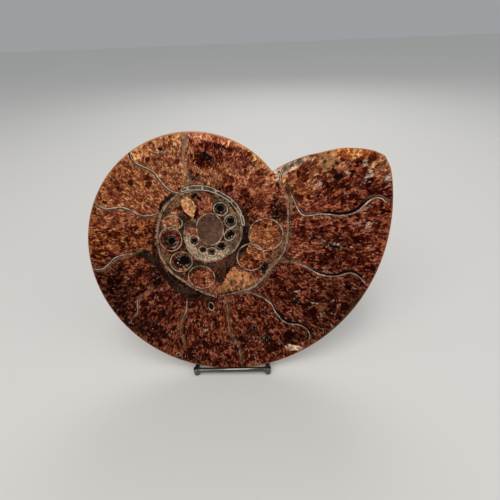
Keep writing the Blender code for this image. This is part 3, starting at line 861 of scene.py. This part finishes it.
def sawn_face():
    """Polished crystal filling with septa, whorl walls, fillings and open chambers drawn into it."""
    face = Finish("sawn_ammonite_face")
    tone = face.kept("tone")
    red, _, _ = face.split(tone)
    shaken = face.shaken(500.0, 0.0018)
    ragged = face.minus(face.noise(650.0, 3.0, 0.65), 0.5)
    patches = face.noise(170.0, 3.0, 0.6)

    # Fine grains, drawn out towards the rim as the crystals grew. The tone is doubled or halved
    # by their shade, which takes green and blue down faster than red
    grown = face.kept("growth")
    strokes = face.cells(0.95, grown)
    stroke_random, stroke_other, stroke_third = face.split(strokes.outputs["Color"])
    grains = face.cells(1.75, grown)
    grain_random, grain_other, grain_third = face.split(grains.outputs["Color"])
    light = face.plus(face.times(stroke_random, 0.55), face.times(grain_random, 0.45))
    light = face.plus(light, face.times(face.minus(patches, 0.5), 1.1))
    spread = face.math("DIVIDE", face.minus(light, 0.5), 0.23)
    golden = face.step(red, 0.09, 0.22)
    strength = face.step(golden, 0.0, 1.0, 1.50, 0.76)
    shade = face.minus(face.times(spread, strength), face.step(golden, 0.0, 1.0, 0.20, 0.05))

    # Blocky dark crystals, most of them where the filling is dark and away from the walls
    grit, from_ring, from_walls = face.split(face.kept("chamber"))
    wall_signed, wall_far, _ = face.split(face.kept("wall"))
    clusters = face.noise(75.0, 2.0, 0.5)
    dark_share = face.times(face.step(red, 0.05, 0.26, 1.0, 0.30),
                            face.step(from_walls, 1.5, 11.0, 0.20, 1.0))
    dark_share = face.times(dark_share, face.step(clusters, 0.36, 0.62, 0.10, 1.0))
    for scale, share in ((180.0, 0.42), (330.0, 0.50)):
        blocks = face.cells(scale, shaken)
        block_random, block_other, block_third = face.split(blocks.outputs["Color"])
        block_edge = face.cells(scale, shaken, "DISTANCE_TO_EDGE").outputs["Distance"]
        block = face.math("LESS_THAN", block_random, face.times(dark_share, share))
        block = face.times(block, face.step(block_edge, 0.02, 0.09))
        deep = face.plus(0.8, face.times(block_other, 1.6))
        softened = face.times(shade, face.step(block, 0.0, 1.0, 1.0, 0.5))
        shade = face.minus(softened, face.times(block, deep))
    seam = face.times(face.step(block_edge, 0.12, 0.05), face.step(stroke_other, 0.30, 0.55, 0.0, 1.1))
    shade = face.plus(shade, seam)
    shade = face.math("MAXIMUM", face.math("MINIMUM", shade, 1.95), -3.4)
    doubled = face.node("ShaderNodeCombineXYZ")
    # For red, green and blue: how fast it follows the shade, and what it loses in dark and golden filling
    channels = ((1.0, 0.0, 0.0), (1.44, 0.70, 0.38), (1.46, 0.82, 0.48))
    for number, (times, less_dark, less_golden) in enumerate(channels):
        less = face.step(golden, 0.0, 1.0, less_dark, less_golden)
        channel = face.minus(face.times(shade, times), less)
        face.put(doubled.inputs[number], face.math("POWER", 2.0, channel))
    color = face.tint(tone, doubled.outputs[0])
    color = face.tint(color, face.mix(stroke_third, (1.08, 0.84, 0.78), (0.95, 1.14, 1.18)))

    # Sparkles where crystal faces catch the light
    glint = face.times(face.step(grain_other, 0.955, 0.965), face.step(patches, 0.48, 0.56))
    glint_color = face.mix(0.42, face.tint(tone, (3.0, 4.0, 4.6)), (0.72, 0.60, 0.52))
    color = face.mix(face.times(glint, 0.66), color, glint_color)

    # Distances, roughened so that edges follow the crystals
    black, pale, to_filling = face.split(face.kept("spots"))
    by_block = face.minus(block_third, 0.5)
    by_stroke = face.minus(stroke_third, 0.5)
    uneven = face.plus(face.times(ragged, 2.2), face.times(by_stroke, 0.25))
    black = face.plus(black, uneven)
    pale = face.plus(pale, face.times(grain_third, 3.0))
    to_filling = face.plus(to_filling, face.plus(uneven, face.times(by_block, 0.5)))

    # Fillings of clay, silt and shell
    mottled = face.noise(330.0, 4.0, 0.7)
    sandy = face.times(face.minus(face.noise(900.0, 4.0, 0.75), 0.5), 3.5)
    sandy = face.plus(sandy, face.times(face.minus(mottled, 0.5), 9.0))
    sandy = face.plus(sandy, face.times(face.minus(clusters, 0.5), 6.0))
    sandy = face.minus(sandy, face.step(stroke_random, 0.16, 0.10, 0.0, 2.4))
    sandy = face.plus(sandy, face.step(stroke_random, 0.84, 0.92, 0.0, 0.9))
    sandy = face.math("MAXIMUM", face.math("MINIMUM", face.times(sandy, grit), 1.4), -3.0)
    grained = face.node("ShaderNodeVectorMath", operation="SCALE")
    face.put(grained.inputs[0], face.kept("filling"))
    face.put(grained.inputs["Scale"], face.math("POWER", 2.0, sandy))
    in_filling = face.step(to_filling, 0.2, -0.2)
    stained = face.mix(face.times(face.step(mottled, 0.48, 0.66, 0.0, 0.8), grit), grained.outputs[0],
                       face.tint(grained.outputs[0], (0.72, 0.55, 0.45)))
    color = face.mix(in_filling, color, stained)

    # Rim
    from_rim, out, to_siphuncle = face.split(face.kept("around"))
    edge = face.plus(from_rim, face.times(ragged, 2.0))
    edge_color = face.mix(0.48, face.tint(tone, (2.0, 2.3, 2.2)), (0.42, 0.19, 0.075))
    color = face.mix(face.times(face.step(edge, 1.7, 0.7), 0.85), color, edge_color)

    # Whorl walls: two pale lines with a dark one between
    wall_signed = face.plus(wall_signed, face.times(ragged, 1.1))
    near_wall = face.step(wall_far, 2.0, 1.5)
    wall_pale = face.times(face.band(wall_signed, -0.80, 0.72, 0.25), near_wall)
    broken = face.step(mottled, 0.38, 0.58, 0.12, 1.0)
    wall_pale = face.times(wall_pale, broken)
    wall_dark = face.times(face.band(wall_signed, -0.35, 0.25, 0.2), near_wall)
    wall_edge = face.times(face.band(wall_signed, 0.95, 1.6, 0.3), near_wall)
    color = face.mix(face.times(wall_edge, 0.75), color, (0.024, 0.013, 0.008))
    color = face.mix(wall_pale, color, (0.56, 0.42, 0.29))
    color = face.mix(face.times(wall_dark, 0.85), color, (0.030, 0.017, 0.010))

    # Rings of the small chambers
    ring = face.plus(from_ring, face.times(ragged, 0.9))
    ring_dark = face.times(face.band(ring, 0.15, 0.85, 0.2), 0.7)
    color = face.mix(ring_dark, color, (0.030, 0.016, 0.009))
    ring_broken = face.step(face.noise(230.0, 3.0, 0.6), 0.42, 0.56, 0.25, 1.0)
    ring_pale = face.times(face.band(ring, -0.36, 0.20, 0.18), ring_broken)
    color = face.mix(ring_pale, color, (0.52, 0.38, 0.26))

    # Siphuncle: grey segments in a pale outline, with dark gaps round them
    to_siphuncle = face.plus(to_siphuncle, face.times(ragged, 0.5))
    color = face.mix(face.times(face.step(to_siphuncle, 0.9, 0.5), 0.9), color, (0.022, 0.013, 0.008))
    segment = face.mix(face.step(mottled, 0.40, 0.60), (0.055, 0.034, 0.022), (0.160, 0.105, 0.070))
    color = face.mix(face.step(to_siphuncle, 0.05, -0.15), color, segment)
    outline = face.times(face.band(to_siphuncle, -0.30, 0.16, 0.12),
                         face.step(mottled, 0.36, 0.50, 0.45, 0.95))
    color = face.mix(outline, color, (0.60, 0.48, 0.36))

    # Septa: a pale line with a dark one beside it, which opens into a crack here and there
    septum_signed, septum_far, open_crack = face.split(face.kept("septum"))
    septum_signed = face.plus(septum_signed, face.times(ragged, 1.0))
    near_septum = face.times(face.step(septum_far, 2.3, 1.8), face.step(open_crack, -1.0, 0.0, 0.10, 1.0))
    halo = face.times(face.step(septum_far, 3.0, 0.6), face.step(open_crack, -0.1, -0.5, 0.0, 0.6))
    halo = face.times(halo, face.step(mottled, 0.38, 0.60, 0.15, 1.0))
    color = face.mix(halo, color, (0.185, 0.082, 0.030))
    brown = face.times(face.band(septum_signed, -1.3, 1.2, 0.3), near_septum)
    color = face.mix(face.times(brown, 0.6), color, (0.090, 0.050, 0.030))
    ivory = face.times(face.band(septum_signed, 0.14, 0.78, 0.15), near_septum)
    dotted = face.math("MAXIMUM", face.step(mottled, 0.40, 0.56),
                       face.step(open_crack, -0.3, 0.0, 0.05, 0.45))
    ivory = face.times(ivory, dotted)
    ivory = face.times(ivory, face.step(open_crack, 0.90, 1.0, 1.0, 0.5))
    color = face.mix(ivory, color, (0.70, 0.56, 0.42))
    faint = face.times(face.band(septum_signed, -1.05, -0.55, 0.2), near_septum)
    faint = face.times(faint, face.step(open_crack, 0.5, 0.2))
    color = face.mix(face.times(faint, 0.35), color, (0.36, 0.24, 0.15))
    line = face.times(face.band(septum_signed, -0.55, 0.12, 0.2), near_septum)
    color = face.mix(face.times(line, 0.92), color, (0.014, 0.007, 0.004))
    # Near-black painted into the sunk crack: painted shade inside the open crack
    inside_crack = face.math("GREATER_THAN", septum_signed, face.times(open_crack, -1.5))
    inside_crack = face.times(inside_crack, face.step(septum_signed, 0.15, -0.15))
    painted_crack_shade = face.times(near_septum, face.step(open_crack, 0.3, 0.6))
    color = face.mix(face.times(inside_crack, painted_crack_shade), color, (0.005, 0.003, 0.003))

    # Pale flecks, then painted shade over everything: the open chambers and black spots painted near-black as
    # holes
    color = face.mix(face.times(face.step(pale, 0.9, 0.6), 0.85), color,
                     face.mix(stroke_other, (0.34, 0.24, 0.19), (0.64, 0.54, 0.46)))
    lip = face.times(face.band(black, 0.35, 0.95, 0.25), face.step(mottled, 0.42, 0.58, 0.0, 0.70))
    lip = face.times(lip, face.step(out, 27.0, 25.0))
    color = face.mix(lip, color, (0.44, 0.33, 0.23))
    # Painted shade: the insides of the holes are painted near-black
    in_black = face.step(black, 0.3, -0.3)
    color = face.mix(in_black, color, (0.006, 0.004, 0.003))

    rough = face.step(to_filling, 0.3, -0.3, 0.16, 0.36)
    rough = face.plus(rough, face.times(in_black, 0.05))
    relief = face.plus(light, face.times(in_black, -2.0))
    face.shader.inputs["Specular IOR Level"].default_value = 0.03
    return face.finish(color, rough, face.bump(relief, 0.00004, 0.6))


def natural_back():
    """Worn shell in tan, brown and rust, with frilled sutures showing where it has rubbed thin."""
    back = Finish("natural_ammonite_back")
    _, _, rib = back.split(back.kept("flank"))
    from_rim, out, _ = back.split(back.kept("around"))
    clouds = back.noise(30.0, 6.0, 0.62, distortion=0.4)
    grain = back.noise(700.0, 4.0, 0.65, back.shaken(260.0, 0.005))
    fine = back.noise(240.0, 5.0, 0.7)
    color = back.mix(back.step(clouds, 0.36, 0.62), (0.150, 0.070, 0.034), (0.430, 0.290, 0.165))
    rust = back.step(back.noise(52.0, 5.0, 0.65, distortion=0.8), 0.52, 0.64)
    color = back.mix(back.times(rust, 0.75), color, (0.360, 0.125, 0.035))
    color = back.mix(back.step(fine, 0.40, 0.62, 0.55, 0.0), color, (0.060, 0.030, 0.017))
    # Painted shade in the rib troughs and painted highlight on the rib crests
    color = back.mix(back.step(rib, -0.30, 0.10, 0.20, 0.0), color, (0.050, 0.026, 0.016))
    color = back.mix(back.step(rib, 0.14, 0.34, 0.0, 0.14), color, (0.46, 0.33, 0.21))

    # Sutures, one after another round the whorl, frilled by noise
    across, ahead, _ = back.split(back.kept("suture"))
    frill = back.times(back.minus(back.noise(110.0, 5.0, 0.68, distortion=1.8), 0.5), 3.2)
    line = back.math("ABSOLUTE", back.plus(across, frill))
    worn = back.times(back.step(clouds, 0.38, 0.50, 0.25, 1.0), back.step(out, 26.0, 34.0))
    suture = back.times(back.step(line, 0.210, 0.090), back.step(ahead, 0.0, 0.2))
    suture = back.times(suture, worn)
    color = back.mix(back.times(suture, 0.85), color, (0.030, 0.015, 0.010))

    # Hardened mud in the umbilicus, and the shell's cut edge round the face
    plug = back.step(back.plus(out, back.times(fine, 6.0)), 27.0, 22.0)
    mud = back.mix(back.step(fine, 0.4, 0.6), (0.150, 0.092, 0.056), (0.290, 0.195, 0.125))
    color = back.mix(plug, color, mud)
    color = back.mix(back.step(from_rim, 1.8, 0.3, 0.0, 0.80), color, (0.360, 0.160, 0.072))
    color = back.mix(back.times(back.step(grain, 0.52, 0.72), 0.35), color, (0.46, 0.34, 0.23))
    rough = back.step(clouds, 0.3, 0.7, 0.36, 0.58)
    back.shader.inputs["Specular IOR Level"].default_value = 0.25
    height = back.plus(back.times(fine, 1.6), grain)
    height = back.minus(height, back.times(suture, 0.8))
    return back.finish(color, rough, back.bump(height, 0.00025, 0.7))


def honey_crystal():
    """Clouded calcite in dark and honey brown, with pale grains here and there."""
    crystal = Finish("honey_calcite")
    clouds = crystal.noise(420.0, 2.0, 0.5)
    grains = crystal.cells(900.0)
    random, _, _ = crystal.split(grains.outputs["Color"])
    color = crystal.mix(crystal.step(clouds, 0.38, 0.62), (0.040, 0.020, 0.010), (0.19, 0.12, 0.072))
    color = crystal.mix(crystal.step(random, 0.80, 0.92), color, (0.50, 0.41, 0.32))
    crystal.shader.inputs["Specular IOR Level"].default_value = 0.5
    return crystal.finish(color, crystal.step(clouds, 0.3, 0.7, 0.10, 0.24))


def dark_nickel():
    """Polished dark nickel with faint drawing marks and handling."""
    metal = Finish("dark_nickel_wire")
    smear = metal.noise(120.0, 3.0, 0.6)
    fine = metal.noise(2600.0, 2.0, 0.5)
    color = metal.mix(smear, (0.100, 0.094, 0.092), (0.180, 0.172, 0.168))
    metal.shader.inputs["Metallic"].default_value = 1.0
    rough = metal.step(smear, 0.3, 0.7, 0.05, 0.11)
    return metal.finish(color, rough, metal.bump(fine, 0.00001, 0.4))


# Crystals in the open chambers

def make_crystals():
    """Small pointed crystals that line the open chambers, all below the polished face."""
    work = bmesh.new()
    chance = np.random.default_rng(7)
    for across, upward, half_width, half_height, degrees, deep in OPEN_CHAMBERS:
        turn = math.radians(degrees)
        count = int(CRYSTALS_PER_MM * (half_width + half_height) * deep)
        for number in range(count):
            around = FULL_TURN * (number + chance.uniform(-0.4, 0.4)) / count * 3
            share = chance.uniform(0.80, 0.98)
            x = share * half_width * math.cos(around)
            y = share * half_height * math.sin(around)
            level = chance.uniform(0.40, 0.95) * deep
            foot = Vector((across + x * math.cos(turn) - y * math.sin(turn), level,
                           upward + x * math.sin(turn) + y * math.cos(turn)))
            inward = Vector((across, level + chance.uniform(-0.5, 1.2), upward)) - foot
            size = chance.uniform(*CRYSTAL_SIZE)
            pose = inward.to_track_quat("Z", "Y").to_matrix().to_4x4()
            spin = Matrix.Rotation(chance.uniform(0.0, FULL_TURN), 4, "Z")
            lean = Matrix.Rotation(chance.uniform(-0.5, 0.5), 4, "X")
            place = Matrix.Translation(foot) @ pose @ lean @ spin
            thick = 0.42 * size
            bmesh.ops.create_cone(work, cap_ends=True, segments=6, radius1=thick, radius2=thick,
                                  depth=size, matrix=place)
            tip = Matrix.Translation((0.0, 0.0, 0.75 * size))
            bmesh.ops.create_cone(work, cap_ends=True, segments=6, radius1=thick, radius2=0.02 * size,
                                  depth=0.5 * size, matrix=place @ tip)
    bmesh.ops.transform(work, matrix=FACE_FRAME, verts=work.verts)
    bmesh.ops.recalc_face_normals(work, faces=work.faces)
    mesh = bpy.data.meshes.new("chamber_crystals")
    work.to_mesh(mesh)
    work.free()
    crystals = bpy.data.objects.new("open_chamber_crystals", mesh)
    bpy.context.scene.collection.objects.link(crystals)
    mesh.materials.append(honey_crystal())
    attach(crystals, "root")


# The stand

def add_rod(work, start, end, radius, end_round):
    """A straight rod between two places in mm, with its ends rounded off."""
    way = Vector(end) - Vector(start)
    turn = way.to_track_quat("Z", "Y").to_matrix().to_4x4()
    place = Matrix.Translation((Vector(start) + Vector(end)) / 2) @ turn
    made = bmesh.ops.create_cone(work, cap_ends=True, segments=ROD_SIDES, radius1=radius, radius2=radius,
                                 depth=way.length, matrix=place)
    ends = [face for face in {face for vertex in made["verts"] for face in vertex.link_faces}
            if len(face.verts) == ROD_SIDES]
    edges = list({edge for face in ends for edge in face.edges})
    bmesh.ops.bevel(work, geom=edges, offset=end_round, offset_type="OFFSET", segments=4, profile=0.5,
                    affect="EDGES", material=-1)


def add_bead(work, place, size):
    """A small bead of solder where two rods meet."""
    spread = Matrix.Translation(place) @ Matrix.Diagonal((*size, 1.0))
    bmesh.ops.create_icosphere(work, subdivisions=3, radius=1.0, matrix=spread)


def stand_piece(name, work, nodes):
    bmesh.ops.recalc_face_normals(work, faces=work.faces)
    mesh = bpy.data.meshes.new(name)
    work.to_mesh(mesh)
    work.free()
    mesh.shade_smooth()
    mesh.set_sharp_from_angle(angle=math.radians(45))
    piece = bpy.data.objects.new(name, mesh)
    bpy.context.scene.collection.objects.link(piece)
    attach(piece, "root")
    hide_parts(*nodes)
    return piece


def make_base():
    """The flat frame on the table: four feet, a bar in front and behind, and a rod along each side."""
    work = bmesh.new()
    left = STAND_X - STAND_HALF_WIDTH
    right = STAND_X + STAND_HALF_WIDTH
    deep = STAND_HALF_DEPTH
    for y in (-deep, deep):
        add_rod(work, (left, y, BAR_HEIGHT), (right, y, BAR_HEIGHT), ROD_RADIUS, 0.3)
        for x in (left, right):
            add_rod(work, (x, y, 0.0), (x, y, FOOT_HEIGHT), FOOT_RADIUS, 0.9)
            inward = 1 if x < STAND_X else -1
            add_bead(work, (x + inward * 2.2, y, BAR_HEIGHT - 0.2), (1.5, 1.95, 1.9))
    for x in (left, right):
        add_rod(work, (x, -deep, SIDE_ROD_HEIGHT), (x, deep, SIDE_ROD_HEIGHT), ROD_RADIUS, 0.3)
        for y in (-deep, deep):
            inward = 1 if y < 0 else -1
            add_bead(work, (x, y + inward * 2.2, SIDE_ROD_HEIGHT), (1.95, 1.5, 1.9))
    bmesh.ops.transform(work, matrix=Matrix.Translation((POLE.x, 0.0, 0.0)) @ Matrix.Scale(MM, 4),
                        verts=work.verts)
    return stand_piece("welded_base_frame", work, (
        "front_bar", "rear_bar", "left_side_rod", "right_side_rod",
        "front_left_foot", "front_right_foot", "rear_left_foot", "rear_right_foot"))


def make_hoop():
    """The bent hoop that the back of the shell leans on, drawn round from foot to foot."""
    work = bmesh.new()
    left = STAND_X - STAND_HALF_WIDTH
    right = STAND_X + STAND_HALF_WIDTH
    bend_start = HOOP_TOP - HOOP_BEND
    ring = bmesh.ops.create_circle(work, cap_ends=True, segments=ROD_SIDES, radius=ROD_RADIUS)
    bmesh.ops.translate(work, verts=ring["verts"], vec=(left, HOOP_DEPTH, HOOP_FOOT))
    end = work.faces[:]

    def last_faces(made):
        return [item for item in made if isinstance(item, bmesh.types.BMFace)]

    def draw_out(faces, way):
        grown = bmesh.ops.extrude_face_region(work, geom=faces)
        moved = [item for item in grown["geom"] if isinstance(item, bmesh.types.BMVert)]
        bmesh.ops.translate(work, verts=moved, vec=way)
        return last_faces(grown["geom"])

    def bend(faces, centre):
        turned = bmesh.ops.spin(work, geom=faces, cent=centre, axis=(0.0, 1.0, 0.0),
                                angle=math.pi / 2, steps=10)
        return last_faces(turned["geom_last"])

    end = draw_out(end, (0.0, 0.0, bend_start - HOOP_FOOT))
    end = bend(end, (left + HOOP_BEND, HOOP_DEPTH, bend_start))
    end = draw_out(end, (right - left - 2 * HOOP_BEND, 0.0, 0.0))
    end = bend(end, (right - HOOP_BEND, HOOP_DEPTH, bend_start))
    draw_out(end, (0.0, 0.0, HOOP_FOOT - bend_start))
    lean = Matrix.Translation(POLE) @ Matrix.Rotation(-LEAN, 4, "X") @ Matrix.Scale(MM, 4)
    bmesh.ops.transform(work, matrix=lean, verts=work.verts)
    return stand_piece("bent_backrest_hoop", work,
                       ("backrest_left_leg", "backrest_right_leg", "backrest_top"))


bpy.context.scene.view_settings.view_transform = "Standard"
make_camera()
make_floor()
make_lights()
metal = dark_nickel()
make_shell()
make_crystals()
make_base().data.materials.append(metal)
make_hoop().data.materials.append(metal)
